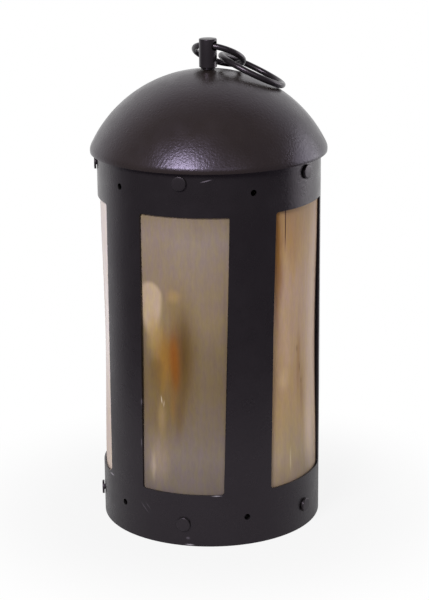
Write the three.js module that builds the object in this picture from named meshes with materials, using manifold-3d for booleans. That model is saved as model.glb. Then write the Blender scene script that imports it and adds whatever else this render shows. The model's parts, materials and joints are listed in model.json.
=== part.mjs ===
import * as THREE from 'three';
import { mergeVertices } from 'three/addons/utils/BufferGeometryUtils.js';
import Module from 'manifold-3d';

// Horn lantern: a rolled sheet steel body with five tall windows, a curved pane of
// translucent horn behind each, a pressed dome on top that hangs from a turned post by
// two linked rings, a candle socket on the base pan, and one window hinged as a door.
// Millimetres, +Z up, origin on the axis at the face it stands on, one window facing -Y.
// Azimuths are in degrees from -Y towards +X, and so are all the other angles.

const wasm = await Module();
wasm.setup();

// Driving dimensions

const gap = 0.3;                   // left between faces that touch on the real object
const overcut = 2;                 // how far a cutter runs past what it cuts

const bodyRadius = 60;             // outside of the rolled body sheet
const bodySheet = 1.0;
const windowCount = 5;
const windowHalfAngle = 22.3;
const windowBottom = 30;
const windowHeight = 150;
const windowCorner = 1.6;
const wornCorner = 4.5;            // the left window's lower right corner is filed and worn round
const leanRightAngle = -3.0;       // the post right of the front window strays this far at its foot
const leanLeftAngle = -1.0;
const ventRadius = 1.15;
const ventDrop = 13;               // vent holes in the posts' line, below the windows
const ventRise = 12.7;             // and above them
const seamLap = 12;                // overlap of the sheet's two ends, measured round the body
const seamRivetInset = 15;         // from the windows' ends

const rivetDrop = 17.5;            // rivets below the windows
const rivetRise = 18.6;            // and above them
const rivetHeadRadius = 3.75;
const rivetHeadHeight = 1.2;
const rivetHeadEdge = 0.3;
const rivetShankRadius = 1.5;
const rivetTailRadius = 2.6;
const rivetTailHeight = 1.0;

const rimOverhang = 3.55;          // how far the dome's rim stands out past the body
const rimRise = 6.5;               // middle of the rim's roll above the top rivets
const rimRoll = 5.8;               // outside radius of the roll at the rim
const rimTurnAngle = 100;          // how far the roll turns, from straight up
const domeRise = 42;               // crown above the middle of the roll
const domeSheet = 1.2;

const paneThickness = 1.2;
const paneBow = 1.1;               // how far a pane sinks in at half height
const paneBowReach = 4;            // the bow starts this far past the window's ends
const paneSide = 7;                // how far a pane runs past its window's sides
const paneEnd = 7.5;               // and past its rivets

const collarSheet = 1.0;
const collarDrop = 4.4;            // below the top rivets
const collarFlange = 6;
const panSheet = 1.0;
const panWall = 3;                 // above the bottom rivets
const panFloor = 1.2;              // underside of the pan above the ground
const panCorner = 2.5;

const postRadius = 4.73;
const postHeight = 16.4;           // above the dome
const postNeckRadius = 3.7;
const postNeckHeight = 1.0;
const postTenonRadius = 2.5;
const postTailRadius = 4.0;
const postTailHeight = 1.6;
const postEdge = 0.5;
const washerRadius = 9;
const washerThickness = 1.2;
const eyeDrop = 3.8;               // axis of the cross hole below the post's top
const eyeRadius = 2.6;
const eyeAngle = 73.25;            // azimuth of the cross hole

const wireRadius = 1.7;
const postRingRadius = 13.3;       // to the middle of the wire
const ringLeanAngle = 7.15;        // the post ring lies this much steeper than the crown under it
const hangRingRadius = 18.27;
const hangSlack = 9.51;            // from the link to the middle of the hanging ring's wire
const hangLinkAngle = 55.6;        // where the hanging ring lies on the post ring, from the eye's axis
const hangYawAngle = -55.3;        // which way it lies from there,
const hangLiftAngle = -21.2;       // how far it drops
const hangRollAngle = 12.6;        // and how far it rolls over

const doorWindow = 3;              // the window that opens, counted from the front one as 0
const doorSideMargin = 3.9;        // the body's opening, past the window's sides
const doorEndMargin = 8;           // and past its top and bottom
const doorOverlap = 4;             // how far the door's frame covers the body round the opening
const doorSheet = 1.0;
const doorPaneClearance = 1.2;
const doorRivetInset = 3.4;        // from the pane's end to its rivet
const smallRivetShank = 0.8;
const smallRivetHead = 1.6;
const smallRivetHeight = 0.7;
const smallRivetEdge = 0.4;
const hingeSpacing = 86;
const hingeWidth = 18;             // along the pin
const knuckleRadius = 1.9;
const pinRadius = 0.7;
const pinPoint = 0.2;
const pinHeadRadius = 1.6;
const pinHeadHeight = 0.9;
const pinTail = 1;                 // out of the lowest knuckle
const leafThickness = 0.8;
const leafLength = 8;
const leafRivetSpacing = 10;
const buttonLength = 20;
const buttonWidth = 7;
const buttonThickness = 1.0;
const buttonPlay = 0.1;            // between the button and the door's frame
const buttonShankRadius = 1.3;
const buttonShoulderRadius = 2.6;
const buttonHeadRadius = 2.8;
const buttonHeadHeight = 0.8;

const socketBore = 11.2;           // radius of the candle's hole
const socketWall = 0.8;
const socketHeight = 26;
const socketLip = 2.2;
const trayRadius = 32;
const trayRim = 5;
const trayFlare = 2.5;
const traySheet = 0.8;

// How many flats stand in for a full round

const drumFlats = 8 * windowCount;
const barFlats = 8;
const postFlats = 20;
const trayFlats = 30;
const socketFlats = 24;
const washerFlats = 16;
const rivetFlats = 10;
const smallFlats = 8;

// Materials: colour, roughness, metalness

const steel = [0x2c2a2c, 0.5, 0.6];
const horn = [0xb79c7c, 0.4, 0.0];
const rawSteel = [0x6a6662, 0.45, 0.9];

// Making solids

const deg = Math.PI / 180;

// A closed three.js shape, taken round the lantern and up, as a solid that can be cut
function solid(geometry, azimuth = 0, height = 0) {
  const plain = geometry.clone().translate(0, 0, height).rotateZ(azimuth * deg);
  plain.deleteAttribute('normal');
  plain.deleteAttribute('uv');
  const merged = mergeVertices(plain, 1e-4);
  const spots = merged.attributes.position;
  const [a, b, c] = [new THREE.Vector3(), new THREE.Vector3(), new THREE.Vector3()];
  const corners = [];
  let volume = 0;
  for (let i = 0; i < merged.index.count; i += 3) {
    const [p, q, r] = [0, 1, 2].map((k) => merged.index.getX(i + k));
    if (p !== q && q !== r && r !== p) {
      corners.push(p, q, r);
      a.fromBufferAttribute(spots, p);
      b.fromBufferAttribute(spots, q);
      c.fromBufferAttribute(spots, r);
      volume += a.dot(b.cross(c));
    }
  }
  if (volume < 0) {
    corners.reverse();
  }
  return new wasm.Manifold(new wasm.Mesh({
    numProp: 3,
    vertProperties: new Float32Array(spots.array),
    triVerts: new Uint32Array(corners),
  }));
}

function shapeOf(body) {
  const mesh = body.getMesh();
  const geometry = new THREE.BufferGeometry();
  geometry.setAttribute('position', new THREE.BufferAttribute(mesh.vertProperties, 3));
  geometry.setIndex(new THREE.BufferAttribute(mesh.triVerts, 1));
  return geometry;
}

// Points of an arc in a profile, angles in degrees from the first axis to the second
function arc(x, y, radius, from, to, steps) {
  const points = [];
  for (let i = 0; i <= steps; i += 1) {
    const angle = (from + ((to - from) * i) / steps) * deg;
    points.push([x + radius * Math.cos(angle), y + radius * Math.sin(angle)]);
  }
  return points;
}

function asVectors(points) {
  return points.map(([x, y]) => new THREE.Vector2(x, y));
}

// A closed profile of [radius, height] points turned about an upright axis
function turned(profile, segments, x = 0, y = 0) {
  const line = asVectors(profile);
  if (profile[0][0] > 0) {
    line.push(line[0].clone());
  }
  return solid(new THREE.LatheGeometry(line, segments).rotateX(Math.PI / 2).translate(x, y, 0));
}

// A profile of [radius, distance from the lantern's axis] turned about a line that
// points straight out from that axis
function radialTurned(profile, segments, azimuth = 0, height = 0) {
  const line = asVectors(profile.map(([r, distance]) => [r, -distance]));
  return solid(new THREE.LatheGeometry(line, segments), azimuth, height);
}

// A hole's cutter along such a line
function radialHole(radius, inner, outer, azimuth, height) {
  const profile = [[0, inner], [radius, inner], [radius, outer], [0, outer]];
  return radialTurned(profile, smallFlats, azimuth, height);
}

// A cutter whose sides point at the lantern's axis, from an outline of [azimuth, height];
// it reaches well past both faces of anything near the body's wall
function radialCutter(outline, azimuth = 0) {
  const [inner, outer] = [0.7 * bodyRadius, 1.3 * bodyRadius];
  const shape = new THREE.Shape(asVectors(outline));
  const block = new THREE.ExtrudeGeometry(shape, { depth: 1, bevelEnabled: false });
  const spots = block.attributes.position;
  for (let i = 0; i < spots.count; i += 1) {
    const radius = inner + (outer - inner) * spots.getZ(i);
    spots.setXYZ(i, radius * Math.tan(spots.getX(i) * deg), -radius, spots.getY(i));
  }
  return solid(block, azimuth);
}

function onArc(length, radius) {
  return length / radius / deg;
}

// The outline of a window with rounded corners whose posts may lean: [azimuth, height]
function windowOutline(left, right, footLeft, footRight, low, high, footCorner = windowCorner) {
  const spots = [
    [footLeft, low, 180, windowCorner],
    [footRight, low, 270, footCorner],
    [right, high, 0, windowCorner],
    [left, high, 90, windowCorner],
  ];
  return spots.flatMap(([azimuth, height, start, corner], i) => {
    const turn = onArc(corner, bodyRadius);
    const x = azimuth + (i === 0 || i === 3 ? turn : -turn);
    const z = height + (i < 2 ? corner : -corner);
    const steps = corner > windowCorner ? 4 : 2;
    return arc(0, 0, 1, start, start + 90, steps).map(([c, s]) => [x + turn * c, z + corner * s]);
  });
}

function rectangle(halfAngle, low, high) {
  return [[-halfAngle, low], [halfAngle, low], [halfAngle, high], [-halfAngle, high]];
}

// Azimuths from one end of a sheet to the other, with the edges of the drum's flats
// between, so that layers lie flat on flat
function flatEdges(from, to) {
  const pitch = 360 / drumFlats;
  const edges = [from];
  for (let i = Math.floor(from / pitch) + 1; i * pitch < to; i += 1) {
    edges.push(i * pitch);
  }
  return [...edges, to];
}

function onCircle(radius, azimuths) {
  return azimuths.map((azimuth) => [radius * Math.sin(azimuth * deg), -radius * Math.cos(azimuth * deg)]);
}

// A sheet that follows the body between two azimuths
function sector(inner, outer, from, to, low, high) {
  const edges = flatEdges(from, to);
  const outline = [...onCircle(outer, edges), ...onCircle(inner, edges.toReversed())];
  const shape = new THREE.Shape(asVectors(outline));
  const sheet = new THREE.ExtrudeGeometry(shape, { depth: high - low, bevelEnabled: false });
  return solid(sheet, 0, low);
}

// Heights, from the windows up and down

const windowTop = windowBottom + windowHeight;
const windowMiddle = windowBottom + windowHeight / 2;
const rivetBottomHeight = windowBottom - rivetDrop;
const rivetTopHeight = windowTop + rivetRise;
const ventHeights = { low: windowBottom - ventDrop, high: windowTop + ventRise };
const seamRivetHeights = [windowBottom + seamRivetInset, windowMiddle, windowTop - seamRivetInset];
const hingeHeights = [windowMiddle - hingeSpacing / 2, windowMiddle + hingeSpacing / 2];

// Layers through the body's wall, from outside in

const bodyInside = bodyRadius - bodySheet;
const paneOutside = bodyInside - gap;
const paneInside = paneOutside - paneThickness;
const collarOutside = paneInside - gap;
const collarInside = collarOutside - collarSheet;
const wallHole = rivetShankRadius + gap;

// Places round the body

const windowPitch = 360 / windowCount;
const postAngle = windowPitch / 2;
const windows = Array.from({ length: windowCount }, (_, i) => {
  const azimuth = i * windowPitch;
  return azimuth > 180 ? azimuth - 360 : azimuth;
});
const leftWindow = -windowPitch;
const seamAzimuth = 3 * postAngle;
const doorAzimuth = windows[doorWindow];

// Dome: a crown struck on one radius, which the rim's roll meets without a corner

const rimRadius = bodyRadius + rimOverhang;
const rollCentre = rimRadius - rimRoll;
const rollHeight = rivetTopHeight + rimRise;
const domeTop = rollHeight + domeRise;
const domeRadius = (rollCentre ** 2 + domeRise ** 2 - rimRoll ** 2) / (2 * (domeRise - rimRoll));
const domeInside = domeRadius - domeSheet;
const crownCentre = domeTop - domeRadius;
const crownTurn = Math.asin(rollCentre / (domeRadius - rimRoll)) / deg;
const postHole = postTenonRadius + gap;

function makeDome() {
  const holeTurn = Math.asin(postHole / domeRadius) / deg;
  const innerHoleTurn = Math.asin(postHole / domeInside) / deg;
  return turned([
    ...arc(0, crownCentre, domeRadius, 90 - holeTurn, 90 - crownTurn, 7),
    ...arc(rollCentre, rollHeight, rimRoll, 90 - crownTurn, 90 - rimTurnAngle, 3).slice(1),
    ...arc(rollCentre, rollHeight, rimRoll - domeSheet, 90 - rimTurnAngle, 90 - crownTurn, 3),
    ...arc(0, crownCentre, domeInside, 90 - crownTurn, 90 - innerHoleTurn, 7).slice(1),
  ], drumFlats);
}

function domeInsideAt(radius) {
  return crownCentre + Math.sqrt(domeInside ** 2 - radius ** 2);
}

// Body: a sheet rolled into a drum, its inner end set in under the outer one at a lap
// seam, with the windows, vents and rivet holes punched in it

const bodyTop = domeInsideAt(bodyRadius) - 2 * gap;
const lapOutside = bodyInside - gap;
const lapInside = lapOutside - bodySheet;

function rolledSheet() {
  const lap = onArc(seamLap, bodyRadius);
  const step = onArc(bodySheet, bodyRadius);
  const innerEnd = seamAzimuth - lap / 2;
  const underLap = flatEdges(innerEnd, innerEnd + lap);
  const drum = flatEdges(innerEnd + lap + step, innerEnd + lap + 360 - onArc(gap, bodyRadius));
  const outline = [
    ...onCircle(lapOutside, underLap),
    ...onCircle(bodyRadius, drum),
    ...onCircle(bodyInside, drum.toReversed()),
    ...onCircle(lapInside, underLap.toReversed()),
  ];
  const shape = new THREE.Shape(asVectors(outline));
  return solid(new THREE.ExtrudeGeometry(shape, { depth: bodyTop, bevelEnabled: false }));
}

function leanOf(azimuth) {
  if (azimuth === postAngle) {
    return leanRightAngle;
  }
  return azimuth === -postAngle ? leanLeftAngle : 0;
}

function bodyWindow(azimuth) {
  const [left, right] = [-windowHalfAngle, windowHalfAngle];
  const footLeft = left + leanOf(azimuth - postAngle);
  const footRight = right + leanOf(azimuth + postAngle);
  const footCorner = azimuth === leftWindow ? wornCorner : windowCorner;
  const outline = windowOutline(left, right, footLeft, footRight, windowBottom, windowTop, footCorner);
  return radialCutter(outline, azimuth);
}

function makeBody() {
  let body = rolledSheet();
  const drill = (radius, azimuth, height) => {
    body = body.subtract(radialHole(radius, lapInside - overcut, bodyRadius + overcut, azimuth, height));
  };
  for (const azimuth of windows) {
    const post = azimuth + postAngle;
    body = body.subtract(azimuth === doorAzimuth ? doorOpening() : bodyWindow(azimuth));
    drill(wallHole, azimuth, rivetBottomHeight);
    drill(wallHole, azimuth, rivetTopHeight);
    drill(ventRadius, post + leanOf(post), ventHeights.low);
    drill(ventRadius, post, ventHeights.high);
  }
  for (const height of seamRivetHeights) {
    drill(wallHole, seamAzimuth, height);
  }
  for (const height of leafRivetHeights()) {
    drill(smallHole, doorAzimuth + bodyLeafTurn, height);
  }
  drill(buttonShankRadius + gap, doorAzimuth + buttonTurn, windowMiddle);
  return body;
}

// Horn panes: pressed to the body's curve, sinking in a little at half height

function paneProfile() {
  const [from, to] = [windowBottom - paneBowReach, windowTop + paneBowReach];
  const face = [[paneOutside, rivetBottomHeight - paneEnd]];
  for (let i = 0; i <= 4; i += 1) {
    const share = i / 4;
    face.push([paneOutside - paneBow * Math.sin(Math.PI * share) ** 2, from + (to - from) * share]);
  }
  face.push([paneOutside, rivetTopHeight + paneEnd]);
  const back = face.map(([r, z]) => [r - paneThickness, z]).reverse();
  return [...face, ...back];
}

function makePane() {
  const half = windowHalfAngle + onArc(paneSide, bodyRadius);
  let pane = turned(paneProfile(), drumFlats).intersect(radialCutter(rectangle(half, 0, domeTop)));
  for (const height of [rivetBottomHeight, rivetTopHeight]) {
    pane = pane.subtract(radialHole(wallHole, paneInside - overcut, bodyRadius, 0, height));
  }
  return pane;
}

// Collar: the angle ring brazed inside the dome that the top rivets go through

function makeCollar() {
  const seat = domeInside - gap;
  const inside = seat - collarSheet;
  const turn = (radius, sphere) => Math.asin(radius / sphere) / deg;
  const flangeInside = collarOutside - collarFlange;
  let collar = turned([
    [collarInside, rivetTopHeight - collarDrop],
    [collarOutside, rivetTopHeight - collarDrop],
    ...arc(0, crownCentre, seat, 90 - turn(collarOutside, seat), 90 - turn(flangeInside, seat), 2),
    ...arc(0, crownCentre, inside, 90 - turn(flangeInside, inside), 90 - turn(collarInside, inside), 2),
  ], drumFlats);
  for (const azimuth of windows) {
    const hole = radialHole(wallHole, collarInside - overcut, bodyRadius, azimuth, rivetTopHeight);
    collar = collar.subtract(hole);
  }
  return collar;
}

// Base pan: a shallow pressed dish whose upturned wall the bottom rivets go through

function makePan() {
  const [bendRadius, bendHeight] = [collarOutside - panCorner, panFloor + panCorner];
  const wallTop = rivetBottomHeight + panWall;
  let pan = turned([
    [wallHole, panFloor],
    ...arc(bendRadius, bendHeight, panCorner, -90, 0, 2),
    [collarOutside, wallTop],
    [collarOutside - panSheet, wallTop],
    ...arc(bendRadius, bendHeight, panCorner - panSheet, 0, -90, 2),
    [wallHole, panFloor + panSheet],
  ], drumFlats);
  for (const azimuth of windows) {
    const hole = radialHole(wallHole, collarInside - overcut, bodyRadius, azimuth, rivetBottomHeight);
    pan = pan.subtract(hole);
  }
  return pan;
}

// Rivets: a flat round head outside, the shank, and the tail spread inside

function makeRivet(outside, inside) {
  return radialTurned([
    [0, outside + rivetHeadHeight],
    [rivetHeadRadius - rivetHeadEdge, outside + rivetHeadHeight],
    [rivetHeadRadius, outside + rivetHeadHeight - rivetHeadEdge],
    [rivetHeadRadius, outside],
    [rivetShankRadius, outside],
    [rivetShankRadius, inside],
    [rivetTailRadius, inside],
    [rivetTailRadius - rivetHeadEdge, inside - rivetTailHeight],
    [0, inside - rivetTailHeight],
  ], rivetFlats);
}

// Hanger: a turned post through the dome, spread over a washer below, with a cross hole

const postTop = domeTop + postHeight;
const eyeHeight = postTop - eyeDrop;
const washerTop = domeInsideAt(washerRadius) - gap;
const washerUnderside = washerTop - washerThickness;

function makePost() {
  const shoulder = domeTop + gap;
  const tail = washerUnderside - gap;
  const post = turned([
    [0, postTop],
    [postRadius - postEdge, postTop],
    [postRadius, postTop - postEdge],
    [postRadius, shoulder + postNeckHeight],
    [postNeckRadius, shoulder + postNeckHeight],
    [postNeckRadius, shoulder],
    [postTenonRadius, shoulder],
    [postTenonRadius, tail],
    [postTailRadius, tail],
    [postTailRadius - postEdge, tail - postTailHeight],
    [0, tail - postTailHeight],
  ], postFlats);
  const reach = postRadius + overcut;
  const bore = [[0, -reach], [eyeRadius, -reach], [eyeRadius, reach], [0, reach]];
  return post.subtract(radialTurned(bore, 14, eyeAngle, eyeHeight));
}

function makeWasher() {
  return turned([
    [postHole, washerUnderside],
    [washerRadius, washerUnderside],
    [washerRadius, washerTop],
    [postHole, washerTop],
  ], washerFlats);
}

// Rings: round bar bent and welded; each lies in a plane given by two directions

function makeRing(radius) {
  return solid(new THREE.TorusGeometry(radius, wireRadius, barFlats, 4 * barFlats));
}

function ringPlace(centre, first, second) {
  const normal = first.clone().cross(second);
  return new THREE.Matrix4().makeBasis(first, second, normal).setPosition(centre);
}

function mix(first, second, angle) {
  return first.clone().multiplyScalar(Math.cos(angle * deg)).addScaledVector(second, Math.sin(angle * deg));
}

// The middle of the post ring, the axis it swings on, and the way it hangs from there.
// The rings rest on the crown, so they lean as it slopes under the post ring's far side.
function postRingFrame() {
  const crownSlope = Math.asin((2 * postRingRadius) / domeRadius) / deg;
  const axis = new THREE.Vector3(Math.sin(eyeAngle * deg), -Math.cos(eyeAngle * deg), 0);
  const level = new THREE.Vector3(-axis.y, axis.x, 0);
  const up = new THREE.Vector3(0, 0, 1);
  const down = mix(level, up, -crownSlope - ringLeanAngle);
  const sag = postRingRadius - Math.sqrt(postRingRadius ** 2 - postRadius ** 2);
  const centre = new THREE.Vector3(0, 0, eyeHeight).addScaledVector(down, postRingRadius - sag / 2);
  return [centre, axis, down];
}

// The hanging ring threads the post ring at the link and leans over from there
function hangRingFrame() {
  const [centre, first, second] = postRingFrame();
  const normal = first.clone().cross(second);
  const outward = mix(first, second, hangLinkAngle);
  const along = mix(second, first.clone().negate(), hangLinkAngle);
  const link = centre.clone().addScaledVector(outward, postRingRadius);
  const away = mix(mix(outward, along, hangYawAngle), normal, hangLiftAngle);
  const across = normal.clone().cross(away).normalize();
  const rolled = mix(across, away.clone().cross(across), hangRollAngle);
  return [link.addScaledVector(away, hangRingRadius - hangSlack), away, rolled];
}

// Door: a curved frame over the body's tall opening, with its own pane let into it.
// Its pieces are made as if at the front, and turned to its place together.

const doorOpeningHalf = windowHalfAngle + onArc(doorSideMargin, bodyRadius);
const doorHalf = doorOpeningHalf + onArc(doorOverlap, bodyRadius);
const doorLow = windowBottom - doorEndMargin;
const doorHigh = windowTop + doorEndMargin;
const doorInside = bodyRadius + gap;
const doorOutside = doorInside + doorSheet;
const doorPaneOutside = doorInside - gap;
const doorPaneInside = doorPaneOutside - paneThickness;
const doorPaneLow = doorLow + doorPaneClearance;
const doorPaneHigh = doorHigh - doorPaneClearance;
const doorRivetHeights = [doorPaneLow + doorRivetInset, doorPaneHigh - doorRivetInset];
const smallHole = smallRivetShank + gap;

function straightWindow(half, low, high) {
  return windowOutline(-half, half, -half, half, low, high);
}

function doorOpening() {
  return radialCutter(straightWindow(doorOpeningHalf, doorLow, doorHigh), doorAzimuth);
}

function makeDoor() {
  const sheet = sector(doorInside, doorOutside, -postAngle, postAngle, 0, domeTop);
  const edge = straightWindow(doorHalf, doorLow - doorOverlap, doorHigh + doorOverlap);
  let door = sheet.intersect(radialCutter(edge));
  door = door.subtract(radialCutter(straightWindow(windowHalfAngle, windowBottom, windowTop)));
  const drill = (azimuth, height) => {
    door = door.subtract(radialHole(smallHole, doorInside - overcut, doorOutside + overcut, azimuth, height));
  };
  for (const height of doorRivetHeights) {
    drill(0, height);
  }
  for (const height of leafRivetHeights()) {
    drill(doorLeafTurn, height);
  }
  return door;
}

function makeDoorPane() {
  const half = doorOpeningHalf - onArc(doorPaneClearance, bodyRadius);
  let pane = sector(doorPaneInside, doorPaneOutside, -half, half, doorPaneLow, doorPaneHigh);
  for (const height of doorRivetHeights) {
    pane = pane.subtract(radialHole(smallHole, doorPaneInside - overcut, doorOutside, 0, height));
  }
  return pane;
}

// A small rivet between two faces; where it has no tail it ends flush inside
function makeSmallRivet(outside, inside, tail) {
  const end = tail
    ? [[smallRivetHead, inside], [smallRivetHead, inside - smallRivetHeight], [0, inside - smallRivetHeight]]
    : [[0, inside]];
  return radialTurned([
    [0, outside + smallRivetHeight],
    [smallRivetHead - smallRivetEdge, outside + smallRivetHeight],
    [smallRivetHead, outside + smallRivetEdge / 2],
    [smallRivetHead, outside],
    [smallRivetShank, outside],
    [smallRivetShank, inside],
    ...end,
  ], smallFlats);
}

// Hinges: a leaf on the door, a leaf on the body, and a loose pin through the knuckles

const knuckleCentre = bodyRadius + gap + knuckleRadius;
const knuckleBore = pinRadius + gap;
const hingeTurn = doorHalf + onArc(knuckleRadius + 2 * gap, bodyRadius);
const leafFrom = onArc(knuckleRadius + gap, bodyRadius);
const leafTo = onArc(knuckleRadius + leafLength, bodyRadius);
const doorLeafTurn = hingeTurn - (leafFrom + leafTo) / 2;
const bodyLeafTurn = hingeTurn + (leafFrom + leafTo) / 2;
const leafRivetOffsets = [-leafRivetSpacing / 2, leafRivetSpacing / 2];

function leafRivetHeights() {
  return hingeHeights.flatMap((height) => leafRivetOffsets.map((offset) => height + offset));
}

function atHinge(profile) {
  const [[x, y]] = onCircle(knuckleCentre, [hingeTurn]);
  return turned(profile, smallFlats, x, y);
}

function barrel(radius, low, high) {
  return atHinge([[0, low], [radius, low], [radius, high], [0, high]]);
}

function makeLeaf(inside, side) {
  const third = hingeWidth / 3;
  const end = hingeWidth / 2;
  const bands = side < 0
    ? [[-third / 2 + gap / 2, third / 2 - gap / 2]]
    : [[-end, -third / 2 - gap / 2], [third / 2 + gap / 2, end]];
  const outside = inside + leafThickness;
  const span = (from, to) => [hingeTurn + side * from, hingeTurn + side * to].sort((a, b) => a - b);
  let leaf = sector(inside, outside, ...span(leafFrom, leafTo), -end, end);
  for (const [low, high] of bands) {
    leaf = leaf.add(sector(inside, outside, ...span(0, (leafFrom + leafTo) / 2), low, high));
    leaf = leaf.add(barrel(knuckleRadius, low, high));
  }
  const azimuth = side < 0 ? doorLeafTurn : bodyLeafTurn;
  for (const offset of leafRivetOffsets) {
    leaf = leaf.subtract(radialHole(smallHole, inside - overcut, outside + overcut, azimuth, offset));
  }
  return leaf.subtract(barrel(knuckleBore, -end - overcut, end + overcut));
}

function makePin() {
  const low = -hingeWidth / 2 - pinTail;
  const high = hingeWidth / 2 + gap;
  return atHinge([
    [0, low],
    [pinRadius - pinPoint, low],
    [pinRadius, low + pinPoint],
    [pinRadius, high],
    [pinHeadRadius, high],
    [pinHeadRadius - pinPoint, high + pinHeadHeight],
    [0, high + pinHeadHeight],
  ]);
}

// Turn button: a flat strip on a shouldered rivet; level, it holds the door shut

const buttonTurn = -postAngle;
const buttonInside = doorOutside + buttonPlay;
const buttonOutside = buttonInside + buttonThickness;

function makeButton() {
  const half = buttonWidth / 2;
  const straight = buttonLength / 2 - half;
  const outline = [...arc(0, straight, half, 0, 180, 6), ...arc(0, -straight, half, 180, 360, 6)];
  const shape = new THREE.Shape(asVectors(outline));
  const strip = new THREE.ExtrudeGeometry(shape, { depth: buttonThickness, bevelEnabled: false });
  const bore = radialHole(buttonShankRadius + gap, buttonInside - overcut, buttonOutside + overcut, 0, 0);
  return solid(strip.rotateX(Math.PI / 2).translate(0, -buttonInside, 0)).subtract(bore);
}

function makeButtonRivet() {
  const head = buttonOutside + gap;
  const shoulder = buttonInside - gap;
  const tail = bodyInside - gap;
  return radialTurned([
    [0, head + buttonHeadHeight],
    [buttonHeadRadius - smallRivetEdge, head + buttonHeadHeight],
    [buttonHeadRadius, head],
    [buttonShankRadius, head],
    [buttonShankRadius, shoulder],
    [buttonShoulderRadius, shoulder],
    [buttonShoulderRadius, bodyRadius + gap],
    [buttonShankRadius, bodyRadius + gap],
    [buttonShankRadius, tail],
    [buttonShoulderRadius, tail],
    [buttonShoulderRadius, tail - smallRivetHeight],
    [0, tail - smallRivetHeight],
  ], rivetFlats);
}

// Candle holder: a drip tray and a flared socket, one rivet through both and the pan

const trayFloor = panFloor + panSheet + gap;
const socketFloor = trayFloor + traySheet + gap;

function makeTray() {
  const foot = trayRadius - trayFlare;
  return turned([
    [wallHole, trayFloor],
    [foot, trayFloor],
    [trayRadius, trayFloor + trayRim],
    [trayRadius - traySheet, trayFloor + trayRim],
    [foot - traySheet / 2, trayFloor + traySheet],
    [wallHole, trayFloor + traySheet],
  ], trayFlats);
}

function makeSocket() {
  const outside = socketBore + socketWall;
  const lipHeight = socketFloor + socketHeight - socketLip;
  return turned([
    [wallHole, socketFloor],
    [outside, socketFloor],
    ...arc(outside + socketLip, lipHeight, socketLip, 180, 90, 3),
    ...arc(outside + socketLip, lipHeight, socketLip + socketWall, 90, 180, 3),
    [socketBore, socketFloor + socketWall],
    [wallHole, socketFloor + socketWall],
  ], socketFlats);
}

function makeSocketRivet() {
  const head = socketFloor + socketWall + gap;
  const tail = panFloor - gap;
  const tip = gap / 2;
  return turned([
    [0, head + rivetHeadHeight],
    [rivetHeadRadius - 2 * rivetHeadEdge, head + rivetHeadHeight],
    [rivetHeadRadius, head],
    [rivetShankRadius, head],
    [rivetShankRadius, tail],
    [rivetTailRadius, tail],
    [rivetTailRadius - rivetHeadEdge, tip],
    [0, tip],
  ], rivetFlats);
}

// Put together

const lantern = new THREE.Group();
const doorBay = new THREE.Group();
doorBay.rotation.z = doorAzimuth * deg;
lantern.add(doorBay);

function place(name, shape, look, { group = lantern, azimuth = 0, height = 0 } = {}) {
  const [color, roughness, metalness] = look;
  const part = new THREE.Mesh(shape, new THREE.MeshStandardMaterial({ color, roughness, metalness }));
  part.name = name;
  part.rotation.z = azimuth * deg;
  part.position.z = height;
  group.add(part);
  return part;
}

place('body_shell', shapeOf(makeBody()), steel);
const paneShape = shapeOf(makePane());
const rivetShape = shapeOf(makeRivet(bodyRadius + gap, collarInside - gap));
for (const [i, azimuth] of windows.entries()) {
  if (i !== doorWindow) {
    place(`horn_pane_${i + 1}`, paneShape, horn, { azimuth });
  }
  place(`bottom_rivet_${i + 1}`, rivetShape, steel, { azimuth, height: rivetBottomHeight });
  place(`top_rivet_${i + 1}`, rivetShape, steel, { azimuth, height: rivetTopHeight });
}
const seamRivetShape = shapeOf(makeRivet(bodyRadius + gap, lapInside - gap));
for (const [i, height] of seamRivetHeights.entries()) {
  place(`seam_rivet_${i + 1}`, seamRivetShape, steel, { azimuth: seamAzimuth, height });
}

place('base_pan', shapeOf(makePan()), steel);
place('drip_tray', shapeOf(makeTray()), rawSteel);
place('candle_socket', shapeOf(makeSocket()), rawSteel);
place('socket_rivet', shapeOf(makeSocketRivet()), rawSteel);

place('dome', shapeOf(makeDome()), steel);
place('dome_collar', shapeOf(makeCollar()), steel);
place('hanger_post', shapeOf(makePost()), steel);
place('post_washer', shapeOf(makeWasher()), rawSteel);
place('post_ring', shapeOf(makeRing(postRingRadius)), steel).applyMatrix4(ringPlace(...postRingFrame()));
place('hanging_ring', shapeOf(makeRing(hangRingRadius)), steel).applyMatrix4(ringPlace(...hangRingFrame()));

place('door_frame', shapeOf(makeDoor()), steel, { group: doorBay });
place('door_pane', shapeOf(makeDoorPane()), horn, { group: doorBay });
const paneRivetShape = shapeOf(makeSmallRivet(doorOutside + gap, doorPaneInside - gap, true));
for (const [i, height] of doorRivetHeights.entries()) {
  place(`door_pane_rivet_${i + 1}`, paneRivetShape, steel, { group: doorBay, height });
}
const doorLeafShape = shapeOf(makeLeaf(doorOutside + gap, -1));
const bodyLeafShape = shapeOf(makeLeaf(bodyRadius + gap, 1));
const pinShape = shapeOf(makePin());
for (const [i, height] of hingeHeights.entries()) {
  place(`hinge_door_leaf_${i + 1}`, doorLeafShape, steel, { group: doorBay, height });
  place(`hinge_body_leaf_${i + 1}`, bodyLeafShape, steel, { group: doorBay, height });
  place(`hinge_pin_${i + 1}`, pinShape, rawSteel, { group: doorBay, height });
}
const leafStack = leafThickness + 2 * gap;
const doorLeafRivetShape = shapeOf(makeSmallRivet(doorOutside + leafStack, doorInside, false));
const bodyLeafRivetShape = shapeOf(makeSmallRivet(bodyRadius + leafStack, bodyInside - gap, true));
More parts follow.
